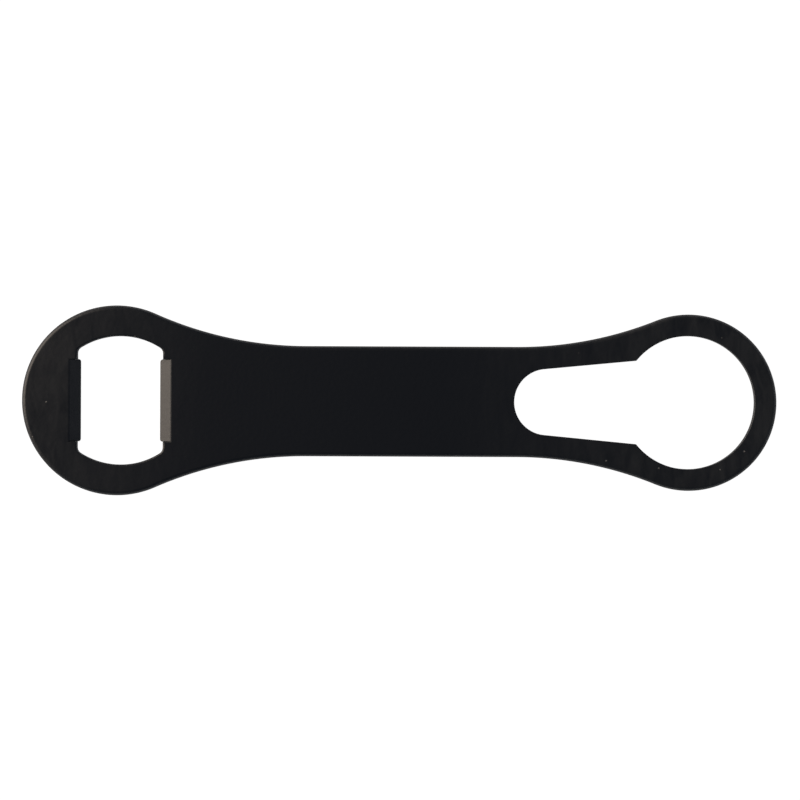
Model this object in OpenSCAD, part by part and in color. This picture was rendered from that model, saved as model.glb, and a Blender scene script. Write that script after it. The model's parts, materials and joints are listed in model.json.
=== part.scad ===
// Flat bottle opener: one blank of sheet steel under a black powder coat.
// The tip head holds the cap opening with its two bent lips, the ring head holds a
// keyhole for pulling pour spouts, and the handle joins them.
// The origin is the middle of the length and width, at the height of the lips' lowest edges.

/* [Plate] */
// Overall length
overall_l = 178; // [165:0.5:190]
// Diameter of the head with the cap opening
tip_head_d = 44.8; // [42:0.1:48]
// Diameter of the head with the ring
ring_head_d = 41.6; // [39:0.1:46]
// Width of the handle
handle_w = 26; // [24:0.1:32]
// Radius of the hollow flanks between the heads and the handle
flank_r = 88; // [60:1:95]
// Thickness over the coat
plate_t = 2.5; // [2:0.1:3.2]

/* [Cap opening] */
// Width along the handle, between the straight sides
cap_w = 20.2; // [19.8:0.1:21.6]
// Height across the handle
cap_h = 30.3; // [29:0.1:32]
// Radius of the arched ends
cap_arc_r = 17.5; // [16:0.1:20]
// Radius of the four corners
cap_corner_r = 1.5; // [1:0.1:2.5]
// How far the opening lies from the head's centre towards the handle
cap_shift = 0.8; // [0:0.1:1.2]

/* [Lips] */
// Length of each lip along its side of the opening
lip_l = 19.4; // [16:0.1:19.8]
// Gap between the free edges of the lips
lip_gap = 18.6; // [18:0.1:19.4]
// Depth of the lip's bend behind the side of the opening
lip_root = 1.9; // [1.2:0.1:2.2]
// Downward bend of the lips
lip_angle = 32; // [20:1:40]
// Width of the relief cut at each end of a lip
relief_w = 0.1; // [0.1:0.05:0.4]

/* [Keyhole] */
// Diameter of the ring hole
ring_hole_d = 31.4; // [29.5:0.1:32]
// How far the ring hole lies from the head's centre towards the handle
ring_hole_shift = 0.1; // [0:0.1:0.6]
// Diameter of the slot's round end
slot_end_d = 15.6; // [14:0.1:17]
// Distance from the ring hole's centre to the centre of the slot's round end
slot_reach = 33.2; // [30:0.1:36]
// Flare of each side of the slot towards the ring hole
slot_flare = 5.45; // [3:0.05:6]

/* [Finish] */
// Thickness of the powder coat
coat_t = 0.1; // [0.06:0.01:0.14]

/* [Hidden] */
$fn = 160;
// Tangent curves are made to cross by this much, so that they meet in one clean edge.
blend = 0.01;
tip_x = tip_head_d / 2 - overall_l / 2;
ring_x = overall_l / 2 - ring_head_d / 2;
cap_x = tip_x + cap_shift;
lip_run = (cap_w - lip_gap) / 2 + lip_root;
lip_slope_l = lip_run / cos(lip_angle);
// Length of each lip's solid inside the plate, behind the bend line.
lip_tail = plate_t / 2;
top_z = lip_slope_l * sin(lip_angle) + plate_t * cos(lip_angle);

// Every shape below takes an inset: 0 gives the outer surface of the coat, and coat_t gives the steel.

// Head disc and its two hollow flanks, with the head's centre at 0 and the handle towards +X.
module head(head_r, inset) {
    rise = flank_r + handle_w / 2;
    run = sqrt(pow(flank_r + head_r, 2) - pow(rise, 2));
    circle(head_r - inset);
    for (side = [-1, 1])
        difference() {
            polygon([[0, 0], [run, 0], [run, side * rise]]);
            translate([run, side * rise]) circle(flank_r + inset + blend);
        }
}

module outline(inset) {
    translate([tip_x, 0]) head(tip_head_d / 2, inset);
    translate([ring_x, 0]) mirror([1, 0]) head(ring_head_d / 2, inset);
    translate([tip_x, inset - handle_w / 2]) square([ring_x - tip_x, handle_w - 2 * inset]);
}

// Opening with straight sides, arched ends and four small round corners, centred at 0.
module cap_opening(inset) {
    arc_y = cap_arc_r - cap_h / 2;
    corner_x = cap_w / 2 - cap_corner_r;
    reach = cap_arc_r - cap_corner_r;
    corner_y = sqrt(pow(reach, 2) - pow(corner_x, 2)) - arc_y;
    arched_w = 2 * corner_x * cap_arc_r / reach;
    square([cap_w + 2 * inset, 2 * corner_y], center = true);
    intersection() {
        translate([0, -arc_y]) circle(cap_arc_r + inset);
        translate([0, arc_y]) circle(cap_arc_r + inset);
        square([arched_w, 2 * cap_h], center = true);
    }
    for (x = [-corner_x, corner_x], y = [-corner_y, corner_y])
        translate([x, y]) circle(cap_corner_r + inset + blend);
}

// How far the bend's corner lies behind the bend line, at a depth below the top face.
function bend_back(depth) = depth * tan(lip_angle / 2);

// Room for a lip and for the relief cut at each of its ends, with X = 0 at the bend line and the opening at -X.
module lip_room(inset) {
    cut_l = lip_l + 2 * (relief_w + inset);
    own_l = lip_l - 2 * inset;
    translate([-lip_root - inset, -cut_l / 2]) square([lip_root + 2 * inset, cut_l]);
    translate([-lip_root - inset, -own_l / 2]) square([lip_root + inset + lip_tail / 2, own_l]);
}

// Lip bent down towards -X, with X = 0 at the bend line and Z = 0 at the top face.
module lip(inset) {
    along = [-cos(lip_angle), -sin(lip_angle)];
    through = [sin(lip_angle), -cos(lip_angle)];
    slope_l = lip_slope_l - inset;
    upper = inset;
    lower = plate_t - inset;
    translate([0, lip_l / 2 - inset, 0])
        rotate([90, 0, 0])
            linear_extrude(lip_l - 2 * inset)
                polygon([
                    [lip_tail, -upper],
                    [bend_back(upper), -upper],
                    slope_l * along + upper * through,
                    slope_l * along + lower * through,
                    [bend_back(lower), -lower],
                    [lip_tail, -lower]
                ]);
}

// Ring hole with the flared slot running from it towards -X, centred on the ring hole.
module keyhole(inset) {
    end_r = slot_end_d / 2 + inset;
    flank = end_r * [-sin(slot_flare), cos(slot_flare)];
    mouth_x = slot_reach - ring_hole_d / 4;
    mouth_y = flank.y + (mouth_x - flank.x) * tan(slot_flare);
    circle(ring_hole_d / 2 + inset);
    translate([-slot_reach, 0]) {
        circle(end_r + blend);
        polygon([flank, [mouth_x, mouth_y], [mouth_x, -mouth_y], [flank.x, -flank.y]]);
    }
}

// Places a lip, or the room for one, at both sides of the cap opening.
module at_both_lips()
    translate([cap_x, 0, 0])
        for (side = [0, 1])
            mirror([side, 0, 0]) translate([cap_w / 2 + lip_root, 0, 0]) children();

module opener(inset) {
    translate([0, 0, top_z - plate_t + inset])
        linear_extrude(plate_t - 2 * inset)
            difference() {
                outline(inset);
                translate([cap_x, 0]) cap_opening(inset);
                at_both_lips() lip_room(inset);
                translate([ring_x - ring_hole_shift, 0]) keyhole(inset);
            }
    translate([0, 0, top_z]) at_both_lips() lip(inset);
}

module steel_blank() color("#8f8f8d") opener(coat_t);

module powder_coat()
    color("#1d1d1f")
        difference() {
            opener(0);
            opener(coat_t);
        }

steel_blank();
powder_coat();
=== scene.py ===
"""Flat bar bottle opener: a stamped steel blank under a satin black powder coat.

The coat and the blank are drawn flat from arcs and straight lines, given their thickness,
bent at the two lips and rounded along every edge. Lengths are in metres.
"""

import json
from math import acos, atan2, cos, pi, radians, sin, sqrt, tan

import bmesh
import bpy
from bpy.props import FloatProperty, FloatVectorProperty, PointerProperty, StringProperty
from bpy.types import Operator, Panel, PropertyGroup
from mathutils import Matrix, Vector


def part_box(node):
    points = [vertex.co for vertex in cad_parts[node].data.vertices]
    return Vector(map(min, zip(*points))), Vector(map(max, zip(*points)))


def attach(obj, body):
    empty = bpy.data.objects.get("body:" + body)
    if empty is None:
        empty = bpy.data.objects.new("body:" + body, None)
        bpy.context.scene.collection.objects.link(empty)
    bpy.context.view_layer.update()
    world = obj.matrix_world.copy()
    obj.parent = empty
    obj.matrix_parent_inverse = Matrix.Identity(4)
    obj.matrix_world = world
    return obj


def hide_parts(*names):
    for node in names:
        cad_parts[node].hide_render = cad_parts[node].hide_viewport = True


bl_info = {
    "name": "Bar bottle opener",
    "version": (1, 0, 0),
    "blender": (4, 5, 0),
    "location": "View3D > Sidebar > Opener",
    "description": "Builds a black coated steel bottle opener and its studio stage",
    "category": "Object",
}

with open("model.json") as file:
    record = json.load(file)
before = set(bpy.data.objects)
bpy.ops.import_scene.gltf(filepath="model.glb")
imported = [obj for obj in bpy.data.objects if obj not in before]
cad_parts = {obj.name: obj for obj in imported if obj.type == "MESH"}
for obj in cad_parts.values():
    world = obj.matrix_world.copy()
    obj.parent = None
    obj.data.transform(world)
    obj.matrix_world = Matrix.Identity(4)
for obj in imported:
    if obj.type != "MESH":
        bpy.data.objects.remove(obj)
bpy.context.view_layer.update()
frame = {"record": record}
COAT_LOW, COAT_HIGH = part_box("powder_coat")
RING_MOUNT = next(m for m in frame["record"]["mounts"] if m["name"] == "pourer_ring")

MM = 0.001
# Width of a facet along the arcs. It is fine enough for the arcs to look round close up.
FACET = 0.6 * MM
# A point closer to a line than this lies on it.
HAIR = 0.01 * MM
# A face whose normal has more height than this is a broad face of the plate or a lip, and not a wall.
BROAD_FACE = 0.7
# Faces that meet at more than this are a corner, and less is a facet of a curve.
CORNER = radians(25)

# The coat's rub marks, and a painted brightening on the heads that stands in for the softboxes' light, start
# at the first of these places along the handle and are full at the second.
TIP_RUB_AND_LIGHT = (-45 * MM, -84 * MM)
RING_RUB_AND_LIGHT = (10 * MM, 76 * MM)
# Across the tip, a painted brightening on the side towards the key softbox grows from the first of these
# places to the second.
TIP_LIT_SIDES = (-16 * MM, 14 * MM)

# Places and sizes of the softboxes, in metres.
KEY_PLACE = (-1.5, 0.55, 0.85)
KEY_SIZE = (1.8, 1.3)
FILL_PLACE = (1.6, 0, 0.7)
FILL_SIZE = (1.6, 0.8)
ROOM_COLOUR = (0.088, 0.105, 0.145, 1)
FLOOR_HALF_WIDTH = 20.0
# The camera stands this far off the opener's middle, and is turned by this much about the line down.
CAMERA_X, CAMERA_Y = 0.19 * MM, 0.36 * MM
CAMERA_ROLL = radians(0.24)


def linear(hex_colour):
    """Linear RGBA of an sRGB hex colour such as #1a1a1c."""
    parts = [int(hex_colour[i:i + 2], 16) / 255 for i in (1, 3, 5)]
    return [c / 12.92 if c <= 0.04045 else ((c + 0.055) / 1.055) ** 2.4 for c in parts] + [1.0]


# ---------------------------------------------------------------- settings


class PlateSettings(PropertyGroup):
    """Outline and thickness of the plate, measured over the coat."""

    length: FloatProperty(
        name="Length", description="Overall length", default=COAT_HIGH.x - COAT_LOW.x, unit="LENGTH")
    tip_head_r: FloatProperty(
        name="Tip head radius", description="Radius of the head with the cap opening",
        default=22.4 * MM, unit="LENGTH")
    ring_head_r: FloatProperty(
        name="Ring head radius", description="Radius of the head with the ring",
        default=20.8 * MM, unit="LENGTH")
    handle_w: FloatProperty(
        name="Handle width", description="Width of the handle between the heads",
        default=26 * MM, unit="LENGTH")
    flank_r: FloatProperty(
        name="Flank radius", description="Radius of the hollow curves beside the heads",
        default=88 * MM, unit="LENGTH")
    thickness: FloatProperty(
        name="Thickness", description="Thickness of the coated plate", default=2.5 * MM, unit="LENGTH")
    edge_round: FloatProperty(
        name="Edge rounding", description="Rounding of the outer edge", default=1.1 * MM, unit="LENGTH")


class CapSettings(PropertyGroup):
    """Cap opening and its two bent lips, measured over the coat."""

    width: FloatProperty(
        name="Width", description="Distance between the straight sides", default=20.2 * MM, unit="LENGTH")
    height: FloatProperty(
        name="Height", description="Height across the handle", default=30.3 * MM, unit="LENGTH")
    arc_r: FloatProperty(
        name="Arch radius", description="Radius of the arched ends", default=17.5 * MM, unit="LENGTH")
    corner_r: FloatProperty(
        name="Corner radius", description="Radius of the four corners", default=1.5 * MM, unit="LENGTH")
    shift: FloatProperty(
        name="Shift", description="Offset from the head's centre towards the handle",
        default=0.8 * MM, unit="LENGTH")
    lip_l: FloatProperty(
        name="Lip length", description="Length of each lip along its side",
        default=19.4 * MM, unit="LENGTH")
    lip_corner_r: FloatProperty(
        name="Lip corner radius", description="Radius of the lips' free corners",
        default=0.6 * MM, unit="LENGTH")
    lip_gap: FloatProperty(
        name="Lip gap", description="Gap between the lips' free edges", default=18.6 * MM, unit="LENGTH")
    lip_root: FloatProperty(
        name="Lip root", description="Depth of the bend behind the opening's side",
        default=1.9 * MM, unit="LENGTH")
    lip_angle: FloatProperty(
        name="Lip angle", description="Downward bend of the lips", default=radians(32), subtype="ANGLE")
    relief_w: FloatProperty(
        name="Relief cut", description="Width of the sheared cut at each end of a lip",
        default=0.02 * MM, unit="LENGTH")
    edge_round: FloatProperty(
        name="Edge rounding", description="Rounding of the opening's edge", default=0.5 * MM, unit="LENGTH")
    lip_round: FloatProperty(
        name="Lip rounding", description="Rounding of the lips' edges", default=0.12 * MM, unit="LENGTH")
    fold_round: FloatProperty(
        name="Fold rounding", description="Width of the rounding along the bend",
        default=0.3 * MM, unit="LENGTH")


class KeyholeSettings(PropertyGroup):
    """Ring hole and the flared slot that runs into it, measured over the coat."""

    centre_x: FloatProperty(
        name="Centre", description="Place of the ring's centre along the handle",
        default=RING_MOUNT["pos_m"][0], unit="LENGTH")
    ring_r: FloatProperty(
        name="Ring radius", description="Radius of the ring hole",
        default=RING_MOUNT["dims"]["r_mm"] * MM, unit="LENGTH")
    slot_r: FloatProperty(
        name="Slot radius", description="Radius of the slot's round end", default=7.8 * MM, unit="LENGTH")
    reach: FloatProperty(
        name="Reach", description="Distance from the ring's centre to the slot end's centre",
        default=33.2 * MM, unit="LENGTH")
    flare: FloatProperty(
        name="Flare", description="Flare of each side of the slot", default=radians(5.45), subtype="ANGLE")
    edge_round: FloatProperty(
        name="Edge rounding", description="Rounding of the keyhole's edge",
        default=0.15 * MM, unit="LENGTH")


class FinishSettings(PropertyGroup):
    """Coat thickness and the colours of the finishes."""

    coat_t: FloatProperty(
        name="Coat thickness", description="Thickness of the powder coat", default=0.1 * MM, unit="LENGTH")
    coat_colour: StringProperty(
        name="Coat colour", description="sRGB hex colour of the powder coat", default="#080b0f")
    # Painted light: besides the rub marks, this lighter colour also gives a painted brightening towards both
    # heads that stands in for the softboxes' light.
    scuff_and_light_colour: StringProperty(
        name="Scuff colour", description="sRGB hex colour of rubbed patches of the coat", default="#272828")
    chip_colour: StringProperty(
        name="Chip colour", description="sRGB hex colour of the primer in small chips", default="#6a6864")
    steel_colour: StringProperty(
        name="Steel colour", description="sRGB hex colour of the bare sheet", default="#b4b2ae")
    floor_colour: StringProperty(
        name="Floor colour", description="sRGB hex colour of the studio floor's light", default="#ffffff")
    floor_body: StringProperty(
        name="Floor body", description="sRGB hex colour of the unlit studio floor", default="#5a5a5a")


class StageSettings(PropertyGroup):
    """Camera and lamps."""

    camera_height: FloatProperty(
        name="Camera height", description="Height of the camera above the plate's middle",
        default=0.6, unit="LENGTH")
    field_w: FloatProperty(
        name="Field width", description="Width that the camera sees at the plate's middle",
        default=188.8 * MM, unit="LENGTH")
    key_power: FloatProperty(
        name="Key power", description="Radiance scale of the softbox on the tip head's side", default=5.05)
    fill_power: FloatProperty(
        name="Fill power", description="Radiance scale of the softbox on the ring's side", default=0.3)
    key_colour: FloatVectorProperty(
        name="Key colour", description="Colour of the key softbox",
        default=(1.0, 0.86, 0.73), subtype="COLOR", size=3)


class OpenerSettings(PropertyGroup):
    """Everything that a user would change on the opener."""

    plate: PointerProperty(type=PlateSettings)
    cap: PointerProperty(type=CapSettings)
    keyhole: PointerProperty(type=KeyholeSettings)
    finish: PointerProperty(type=FinishSettings)
    stage: PointerProperty(type=StageSettings)


# ---------------------------------------------------------------- drawing the plate


def arc_from(bm, vert, centre, angle):
    """Carries a vertex round a centre, leaving edges behind it, and returns where it ends."""
    radius = (vert.co - Vector(centre)).length
    steps = max(3, round(abs(angle) * radius / FACET))
    turned = bmesh.ops.spin(bm, geom=[vert], cent=centre, axis=(0, 0, 1), angle=angle, steps=steps)
    return next(g for g in turned["geom_last"] if isinstance(g, bmesh.types.BMVert))


def line_from(bm, vert, x, y):
    """Draws a straight edge from a vertex to a point of the same plane."""
    end = bmesh.ops.extrude_vert_indiv(bm, verts=[vert])["verts"][0]
    end.co = (x, y, vert.co.z)
    return end


def start_at(bm, x, y, rounding):
    """First vertex of a run. Its rounding is the radius of the edge that the run becomes."""
    vert = bm.verts.new((x, y, 0))
    vert[bm.verts.layers.float["rounding"]] = rounding
    return vert


def draw_outline(bm, plate, inset):
    """Upper half of the plate's outline, from the tip to the end of the ring head."""
    tip_x = plate.tip_head_r - plate.length / 2
    ring_x = plate.length / 2 - plate.ring_head_r
    half_w = plate.handle_w / 2
    rise = plate.flank_r + half_w
    tip_run = sqrt((plate.flank_r + plate.tip_head_r) ** 2 - rise ** 2)
    ring_run = sqrt((plate.flank_r + plate.ring_head_r) ** 2 - rise ** 2)
    tip_touch = atan2(rise, tip_run)
    ring_touch = atan2(rise, ring_run)
    vert = start_at(bm, inset - plate.length / 2, 0, plate.edge_round - inset)
    vert = arc_from(bm, vert, (tip_x, 0, 0), tip_touch - pi)
    vert = arc_from(bm, vert, (tip_x + tip_run, rise, 0), pi / 2 - tip_touch)
    vert = line_from(bm, vert, ring_x - ring_run, half_w - inset)
    vert = arc_from(bm, vert, (ring_x - ring_run, rise, 0), pi / 2 - ring_touch)
    arc_from(bm, vert, (ring_x, 0, 0), ring_touch - pi)


def draw_keyhole(bm, keyhole, inset):
    """Upper half of the keyhole, from the slot's round end to the far side of the ring hole."""
    ring_x = keyhole.centre_x
    slot_x = ring_x - keyhole.reach
    slot_r = keyhole.slot_r + inset
    ring_r = keyhole.ring_r + inset
    # The slot's side touches its round end, so its distance from the ring's centre follows from the flare.
    side_distance = slot_r + keyhole.reach * sin(keyhole.flare)
    mouth = pi / 2 + keyhole.flare + acos(side_distance / ring_r)
    vert = start_at(bm, slot_x - slot_r, 0, keyhole.edge_round - inset)
    vert = arc_from(bm, vert, (slot_x, 0, 0), keyhole.flare - pi / 2)
    vert = line_from(bm, vert, ring_x + ring_r * cos(mouth), ring_r * sin(mouth))
    arc_from(bm, vert, (ring_x, 0, 0), -mouth)


def draw_cap_quarter(bm, cap, inset):
    """One quarter of the cap opening, centred at 0, down to the bend line of the +X lip."""
    arc_y = cap.arc_r - cap.height / 2
    corner_x = cap.width / 2 - cap.corner_r
    corner_y = sqrt((cap.arc_r - cap.corner_r) ** 2 - corner_x ** 2) - arc_y
    touch = atan2(corner_y + arc_y, corner_x)
    lip_end = cap.lip_l / 2 - inset
    cut_end = cap.lip_l / 2 + cap.relief_w + inset
    bend_x = cap.width / 2 + cap.lip_root
    rounding = bm.verts.layers.float["rounding"]
    vert = start_at(bm, 0, cap.height / 2 + inset, cap.edge_round - inset)
    vert = arc_from(bm, vert, (0, -arc_y, 0), touch - pi / 2)
    vert = arc_from(bm, vert, (corner_x, corner_y, 0), -touch)
    vert = line_from(bm, vert, cap.width / 2 + inset, cut_end)
    vert[rounding] = cap.lip_round
    vert = line_from(bm, vert, bend_x, cut_end)
    vert = line_from(bm, vert, bend_x, lip_end)
    line_from(bm, vert, bend_x, 0)


def mirror_all(bm, axis):
    """Mirrors everything drawn so far and joins it along the mirror plane."""
    geom = bm.verts[:] + bm.edges[:] + bm.faces[:]
    bmesh.ops.mirror(bm, geom=geom, matrix=Matrix.Identity(4), merge_dist=HAIR / 10, axis=axis)


def close_half(bm):
    """Joins the drawn runs along the middle line, and fills the half plate inside them with one face."""
    ends = sorted((v for v in bm.verts if len(v.link_edges) == 1), key=lambda v: v.co.x)
    for left, right in zip(ends[::2], ends[1::2]):
        bm.edges.new((left, right))
    bmesh.ops.contextual_create(bm, geom=bm.edges[:])


def lip_verts(bm, cap, cap_x, side):
    """Vertices of one lip and its bend line, each with its distance from that line towards the opening."""
    line_x = cap_x + side * (cap.width / 2 + cap.lip_root)
    lip_end = (cap.lip_l + cap.relief_w) / 2
    across = [(v, side * (line_x - v.co.x)) for v in bm.verts if abs(v.co.y) < lip_end]
    return [(v, distance) for v, distance in across if -HAIR < distance < cap.width / 2]


def add_lips(bm, cap, cap_x, inset):
    """Extends the flat plate from each bend line by the lip's length, and rounds the lips' free corners."""
    run = cap.width / 2 + cap.lip_root - cap.lip_gap / 2
    rounding = bm.verts.layers.float["rounding"]
    for side in (-1, 1):
        root = [v for v, _ in lip_verts(bm, cap, cap_x, side)]
        bend = [e for e in bm.edges if e.verts[0] in root and e.verts[1] in root]
        grown = bmesh.ops.extrude_edge_only(bm, edges=bend)["geom"]
        free = [g for g in grown if isinstance(g, bmesh.types.BMVert)]
        bmesh.ops.translate(bm, verts=free, vec=(side * (inset - run / cos(cap.lip_angle)), 0, 0))
        corners = [v for v in free if abs(v.co.y) > cap.lip_l / 4]
        rounded = bmesh.ops.bevel(
            bm, geom=corners, offset=cap.lip_corner_r - inset, affect="VERTICES", segments=4, profile=0.5,
            material=-1)
        for vert in rounded["verts"]:
            vert[rounding] = cap.lip_round


def bend_lips(bm, cap, cap_x, top_z):
    """Turns each lip down about its bend line in the coat's top face, with a mitre at the bend."""
    for side in (-1, 1):
        line_x = cap_x + side * (cap.width / 2 + cap.lip_root)
        verts = lip_verts(bm, cap, cap_x, side)
        lip = [v for v, distance in verts if distance > HAIR]
        for vert in (v for v, distance in verts if distance < HAIR):
            vert.co.x += side * (top_z - vert.co.z) * tan(cap.lip_angle / 2)
        turn = Matrix.Rotation(-side * cap.lip_angle, 3, "Y")
        bmesh.ops.rotate(bm, cent=(line_x, 0, top_z), matrix=turn, verts=lip)


def weigh_edges(bm, fold_round, widest):
    """Gives rim edges and folds a bevel weight from their own rounding, and marks upright corners sharp."""
    rounding = bm.verts.layers.float["rounding"]
    weight = bm.edges.layers.float.new("bevel_weight_edge")
    for edge in bm.edges:
        broad = [abs(f.normal.z) > BROAD_FACE for f in edge.link_faces]
        if broad[0] != broad[1]:
            edge[weight] = max(0, *(v[rounding] for v in edge.verts)) / widest
        elif edge.calc_face_angle() > CORNER:
            if broad[0]:
                edge[weight] = fold_round / widest
            else:
                edge.smooth = False


def plate_solid(settings, inset):
    """The opener as one closed solid, at an inset from the coat's outer surface."""
    plate, cap = settings.plate, settings.cap
    cap_x = plate.tip_head_r - plate.length / 2 + cap.shift
    bm = bmesh.new()
    bm.verts.layers.float.new("rounding")
    draw_cap_quarter(bm, cap, inset)
    mirror_all(bm, "X")
    bmesh.ops.translate(bm, verts=bm.verts, vec=(cap_x, 0, 0))
    draw_outline(bm, plate, inset)
    draw_keyhole(bm, settings.keyhole, inset)
    close_half(bm)
    mirror_all(bm, "Y")
    add_lips(bm, cap, cap_x, inset)
    bmesh.ops.translate(bm, verts=bm.verts, vec=(0, 0, COAT_HIGH.z - inset))
    under = bmesh.ops.extrude_face_region(bm, geom=bm.faces[:])["geom"]
    under_verts = [g for g in under if isinstance(g, bmesh.types.BMVert)]
    bmesh.ops.translate(bm, verts=under_verts, vec=(0, 0, 2 * inset - plate.thickness))
    bend_lips(bm, cap, cap_x, COAT_HIGH.z)
    bmesh.ops.recalc_face_normals(bm, faces=bm.faces[:])
    for face in bm.faces:
        face.smooth = True
    weigh_edges(bm, cap.fold_round, plate.edge_round)
    return bm


def coat_skin(settings):
    """The coat as a closed skin: its outer surface, and the blank's surface turned inside out."""
    bm = plate_solid(settings, 0)
    lining = plate_solid(settings, settings.finish.coat_t)
    bmesh.ops.reverse_faces(lining, faces=lining.faces[:])
    mesh = bpy.data.meshes.new("lining")
    lining.to_mesh(mesh)
    lining.free()
    bm.from_mesh(mesh)
    bpy.data.meshes.remove(mesh)
    return bm


def add_piece(name, bm, material, widest_round):
    """Makes a piece of a finished bmesh, with its edges rounded by their weights."""
    mesh = bpy.data.meshes.new(name)
    bm.to_mesh(mesh)
    bm.free()
    piece = bpy.data.objects.new(name, mesh)
    bpy.context.scene.collection.objects.link(piece)
    mesh.materials.append(material)
    rounding = piece.modifiers.new("Edge rounding", "BEVEL")
    rounding.limit_method = "WEIGHT"
    rounding.width = widest_round
    rounding.segments = 5
    rounding.profile = 0.5
    rounding.use_clamp_overlap = False
    shading = piece.modifiers.new("Flat faces shade flat", "WEIGHTED_NORMAL")
    shading.keep_sharp = True
    shading.weight = 100
    return piece


# ---------------------------------------------------------------- materials


def add_node(material, kind, settings=None, inputs=None):
    """Adds a node with its settings, and sets or links its inputs."""
    node = material.node_tree.nodes.new(kind)
    for key, value in (settings or {}).items():
        setattr(node, key, value)
    for key, value in (inputs or {}).items():
        if isinstance(value, bpy.types.NodeSocket):
            material.node_tree.links.new(value, node.inputs[key])
        else:
            node.inputs[key].default_value = value
    return node


def new_material(name):
    """A node material and its shader."""
    material = bpy.data.materials.new(name)
    material.use_nodes = True
    return material, material.node_tree.nodes["Principled BSDF"]


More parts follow.
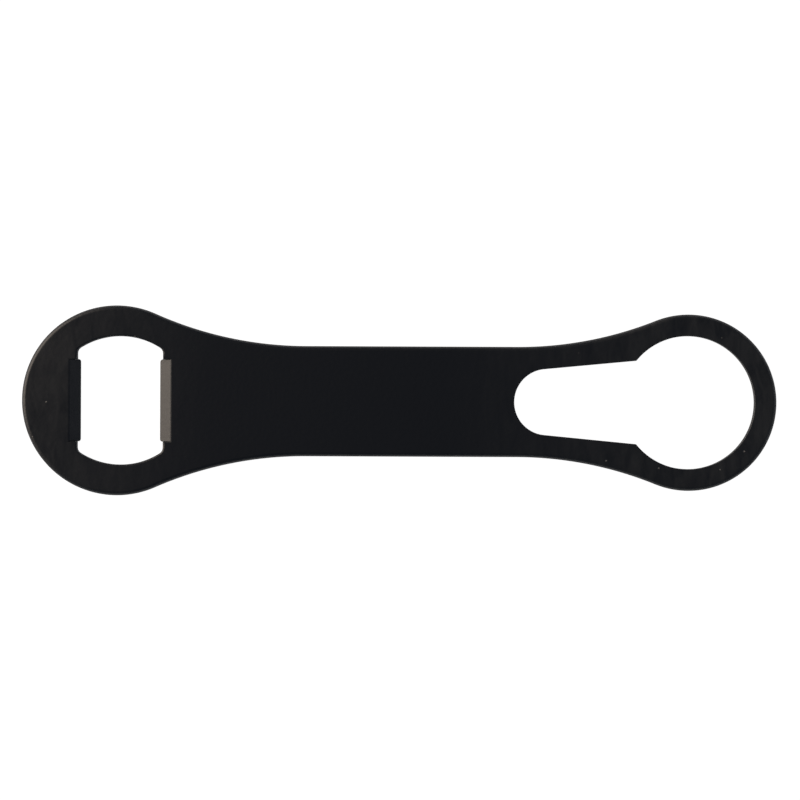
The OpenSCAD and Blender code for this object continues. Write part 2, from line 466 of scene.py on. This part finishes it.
def satin_black_powder_coat(finish):
    """Polyester powder, sprayed on and baked: satin black with orange peel, rubbed grey at the two heads,
    where painted light also brightens the coat.
    """
    material, shader = new_material("Satin black powder coat")
    links = material.node_tree.links
    place = add_node(material, "ShaderNodeTexCoord").outputs["Object"]
    split = add_node(material, "ShaderNodeSeparateXYZ", None, {"Vector": place})
    along, sideways = split.outputs["X"], split.outputs["Y"]

    # The melted powder sets in low swells about 1 mm apart.
    peel = add_node(
        material, "ShaderNodeTexNoise", None, {"Vector": place, "Scale": 1 / (1.0 * MM), "Detail": 2.0})

    # Bottle necks and the bar top rub the heads, mostly across the handle, in smears about 2 mm wide.
    across = add_node(
        material, "ShaderNodeMapping", None,
        {"Vector": place, "Scale": (1 / (2.4 * MM), 1 / (7 * MM), 1 / (7 * MM))})
    streaks = add_node(
        material, "ShaderNodeTexNoise", None,
        {"Vector": across.outputs["Vector"], "Scale": 1.0, "Detail": 5.0, "Roughness": 0.6,
         "Distortion": 0.6})
    strength = add_node(
        material, "ShaderNodeMapRange", {"clamp": False},
        {"Value": streaks.outputs["Fac"], "From Min": 0.4, "From Max": 0.7, "To Min": 0.6, "To Max": 1.8})
    # Painted light: the coat is made lighter towards both heads, standing in for the softboxes' light, on
    # top of the real rub marks that the streaks give.
    tip_rub_and_light = add_node(
        material, "ShaderNodeMapRange", None,
        {"Value": along, "From Min": TIP_RUB_AND_LIGHT[0], "From Max": TIP_RUB_AND_LIGHT[1], "To Max": 0.4})
    # Painted light: the tip is made lighter a little more towards +Y, the key softbox's side, than towards
    # -Y.
    tip_lit_side = add_node(
        material, "ShaderNodeMapRange", None,
        {"Value": sideways, "From Min": TIP_LIT_SIDES[0], "From Max": TIP_LIT_SIDES[1], "To Min": 1.0,
         "To Max": 1.3})
    ring_rub_and_light = add_node(
        material, "ShaderNodeMapRange", None,
        {"Value": along, "From Min": RING_RUB_AND_LIGHT[0], "From Max": RING_RUB_AND_LIGHT[1], "To Max": 0.55})
    rub_and_light = add_node(
        material, "ShaderNodeMath", {"operation": "MULTIPLY_ADD"},
        {0: tip_rub_and_light.outputs["Result"], 1: tip_lit_side.outputs["Result"], 2: ring_rub_and_light.outputs["Result"]})
    rub_and_light_mix = add_node(
        material, "ShaderNodeMath", {"operation": "MULTIPLY", "use_clamp": True},
        {0: rub_and_light.outputs["Value"], 1: strength.outputs["Result"]})
    # The lighter colour mixed in here is both the rub marks and the painted brightening towards the heads.
    worn_and_lit_colour = add_node(
        material, "ShaderNodeMix", {"data_type": "RGBA"},
        {"Factor": rub_and_light_mix.outputs["Value"], "A": linear(finish.coat_colour),
         "B": linear(finish.scuff_and_light_colour)})

    # A few knocks have chipped the coat down to its grey primer, in specks about 0.3 mm across.
    cells = add_node(material, "ShaderNodeTexVoronoi", None, {"Vector": place, "Scale": 1 / (3 * MM)})
    pick = add_node(material, "ShaderNodeSeparateColor", None, {"Color": cells.outputs["Color"]})
    few = add_node(
        material, "ShaderNodeMapRange", None,
        {"Value": rub_and_light.outputs["Value"], "From Min": 0.1, "From Max": 0.5, "To Max": 0.7})
    taken = add_node(
        material, "ShaderNodeMath", {"operation": "LESS_THAN"},
        {0: pick.outputs["Red"], 1: few.outputs["Result"]})
    speck = add_node(
        material, "ShaderNodeMapRange", None,
        {"Value": cells.outputs["Distance"], "From Min": 0.08, "From Max": 0.05})
    chips = add_node(
        material, "ShaderNodeMath", {"operation": "MULTIPLY"},
        {0: taken.outputs["Value"], 1: speck.outputs["Result"]})
    colour = add_node(
        material, "ShaderNodeMix", {"data_type": "RGBA"},
        {"Factor": chips.outputs["Value"], "A": worn_and_lit_colour.outputs["Result"],
         "B": linear(finish.chip_colour)})

    gloss = add_node(
        material, "ShaderNodeMapRange", None,
        {"Value": rub_and_light_mix.outputs["Value"], "From Max": 0.6, "To Min": 0.38, "To Max": 0.43})
    # Seen at a low angle, the coat's fine grain breaks up the glare, so it stays dull and black.
    slant = add_node(material, "ShaderNodeLayerWeight", None, {"Blend": 0.5})
    grain = add_node(
        material, "ShaderNodeMapRange", None,
        {"Value": slant.outputs["Facing"], "From Min": 0.25, "From Max": 0.75, "To Max": 0.5})
    roughness = add_node(
        material, "ShaderNodeMath", {"operation": "ADD", "use_clamp": True},
        {0: gloss.outputs["Result"], 1: grain.outputs["Result"]})
    swells = add_node(
        material, "ShaderNodeBump", None,
        {"Height": peel.outputs["Fac"], "Strength": 1.0, "Distance": 0.03 * MM})
    pits = add_node(
        material, "ShaderNodeBump", {"invert": True},
        {"Height": chips.outputs["Value"], "Strength": 1.0, "Distance": 0.05 * MM,
         "Normal": swells.outputs["Normal"]})
    links.new(colour.outputs["Result"], shader.inputs["Base Color"])
    links.new(roughness.outputs["Value"], shader.inputs["Roughness"])
    links.new(pits.outputs["Normal"], shader.inputs["Normal"])
    shader.inputs["IOR"].default_value = 1.5
    return material


def cold_rolled_steel(finish):
    """Stainless sheet as it leaves the rolls: dull grey with fine lines along the rolling direction."""
    material, shader = new_material("Cold rolled stainless sheet")
    links = material.node_tree.links
    place = add_node(material, "ShaderNodeTexCoord").outputs["Object"]
    # Rolling lines about 0.1 mm apart run along the handle.
    along = add_node(
        material, "ShaderNodeMapping", None,
        {"Vector": place, "Scale": (1 / (8 * MM), 1 / (0.1 * MM), 1 / (0.1 * MM))})
    lines = add_node(
        material, "ShaderNodeTexNoise", None,
        {"Vector": along.outputs["Vector"], "Scale": 1.0, "Detail": 3.0})
    gloss = add_node(
        material, "ShaderNodeMapRange", None,
        {"Value": lines.outputs["Fac"], "To Min": 0.28, "To Max": 0.5})
    bump = add_node(
        material, "ShaderNodeBump", None,
        {"Height": lines.outputs["Fac"], "Strength": 0.15, "Distance": 0.01 * MM})
    links.new(gloss.outputs["Result"], shader.inputs["Roughness"])
    links.new(bump.outputs["Normal"], shader.inputs["Normal"])
    shader.inputs["Base Color"].default_value = linear(finish.steel_colour)
    shader.inputs["Metallic"].default_value = 1.0
    return material


def lit_white_acrylic(finish):
    """Matt white acrylic sheet lit evenly from below, as on a product photographer's table."""
    material, shader = new_material("Lit white acrylic")
    place = add_node(material, "ShaderNodeTexCoord").outputs["Object"]
    # The cast sheet's surface has a faint matt grain of about 0.5 mm.
    grain = add_node(
        material, "ShaderNodeTexNoise", None, {"Vector": place, "Scale": 1 / (0.5 * MM), "Detail": 2.0})
    bump = add_node(
        material, "ShaderNodeBump", None,
        {"Height": grain.outputs["Fac"], "Strength": 0.1, "Distance": 0.02 * MM})
    material.node_tree.links.new(bump.outputs["Normal"], shader.inputs["Normal"])
    # The sheet passes most light on, so little of the softboxes' light comes back from it.
    shader.inputs["Base Color"].default_value = linear(finish.floor_body)
    shader.inputs["Roughness"].default_value = 0.8
    shader.inputs["Emission Color"].default_value = linear(finish.floor_colour)
    shader.inputs["Emission Strength"].default_value = 1.0
    return material


# ---------------------------------------------------------------- operators


class OPENER_OT_steel_blank(Operator):
    """Build the stamped steel blank with its bent lips"""

    bl_idname = "opener.steel_blank"
    bl_label = "Steel blank"

    def execute(self, context):
        settings = context.scene.opener
        bm = plate_solid(settings, settings.finish.coat_t)
        piece = add_piece("blank", bm, cold_rolled_steel(settings.finish), settings.plate.edge_round)
        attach(piece, "root")
        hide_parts("steel_blank")
        return {"FINISHED"}


class OPENER_OT_powder_coat(Operator):
    """Build the powder coat as a closed skin round the blank"""

    bl_idname = "opener.powder_coat"
    bl_label = "Powder coat"

    def execute(self, context):
        settings = context.scene.opener
        bm = coat_skin(settings)
        piece = add_piece("coat", bm, satin_black_powder_coat(settings.finish), settings.plate.edge_round)
        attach(piece, "root")
        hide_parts("powder_coat")
        return {"FINISHED"}


def add_softbox(name, place, size, radiance, colour):
    """A rectangular area lamp that faces the middle of the opener."""
    lamp = bpy.data.lights.new(name, "AREA")
    lamp.shape = "RECTANGLE"
    lamp.size, lamp.size_y = size
    # A lamp's power is its radiance times its area times pi.
    lamp.energy = radiance * size[0] * size[1] * pi
    lamp.color = colour
    box = bpy.data.objects.new(name, lamp)
    box.location = place
    box.rotation_euler = (-Vector(place)).to_track_quat("-Z", "Y").to_euler()
    bpy.context.scene.collection.objects.link(box)


class OPENER_OT_stage(Operator):
    """Set up the floor, the softboxes and the camera above the opener"""

    bl_idname = "opener.stage"
    bl_label = "Stage"

    def execute(self, context):
        scene = context.scene
        stage = scene.opener.stage
        bm = bmesh.new()
        bmesh.ops.create_grid(bm, x_segments=1, y_segments=1, size=FLOOR_HALF_WIDTH)
        mesh = bpy.data.meshes.new("floor")
        bm.to_mesh(mesh)
        bm.free()
        mesh.materials.append(lit_white_acrylic(scene.opener.finish))
        floor = bpy.data.objects.new("floor", mesh)
        scene.collection.objects.link(floor)

        add_softbox("key softbox", KEY_PLACE, KEY_SIZE, stage.key_power, stage.key_colour)
        add_softbox("fill softbox", FILL_PLACE, FILL_SIZE, stage.fill_power, (1, 1, 1))

        world = bpy.data.worlds.new("dim studio")
        world.use_nodes = True
        world.node_tree.nodes["Background"].inputs["Color"].default_value = ROOM_COLOUR
        scene.world = world

        lens = bpy.data.cameras.new("camera")
        mid_z = COAT_HIGH.z - scene.opener.plate.thickness / 2
        lens.lens = lens.sensor_width * stage.camera_height / stage.field_w
        camera = bpy.data.objects.new("camera", lens)
        camera.location = (CAMERA_X, CAMERA_Y, mid_z + stage.camera_height)
        camera.rotation_euler = (0, 0, CAMERA_ROLL)
        scene.collection.objects.link(camera)
        scene.camera = camera
        scene.view_settings.view_transform = "Standard"
        return {"FINISHED"}


class OPENER_PT_panel(Panel):
    """Lists the opener's pieces and settings"""

    bl_idname = "OPENER_PT_panel"
    bl_label = "Bottle opener"
    bl_space_type = "VIEW_3D"
    bl_region_type = "UI"
    bl_category = "Opener"

    def draw(self, context):
        layout = self.layout
        settings = context.scene.opener
        for operator in (OPENER_OT_steel_blank, OPENER_OT_powder_coat, OPENER_OT_stage):
            layout.operator(operator.bl_idname)
        for group in (settings.plate, settings.cap, settings.keyhole, settings.finish, settings.stage):
            box = layout.box()
            for key in group.__annotations__:
                box.prop(group, key)


CLASSES = (
    PlateSettings,
    CapSettings,
    KeyholeSettings,
    FinishSettings,
    StageSettings,
    OpenerSettings,
    OPENER_OT_steel_blank,
    OPENER_OT_powder_coat,
    OPENER_OT_stage,
    OPENER_PT_panel,
)


def register():
    for cls in CLASSES:
        bpy.utils.register_class(cls)
    bpy.types.Scene.opener = PointerProperty(type=OpenerSettings)


def unregister():
    del bpy.types.Scene.opener
    for cls in reversed(CLASSES):
        bpy.utils.unregister_class(cls)


def main():
    register()
    bpy.ops.opener.stage()
    bpy.ops.opener.steel_blank()
    bpy.ops.opener.powder_coat()


if __name__ == "__main__":
    main()
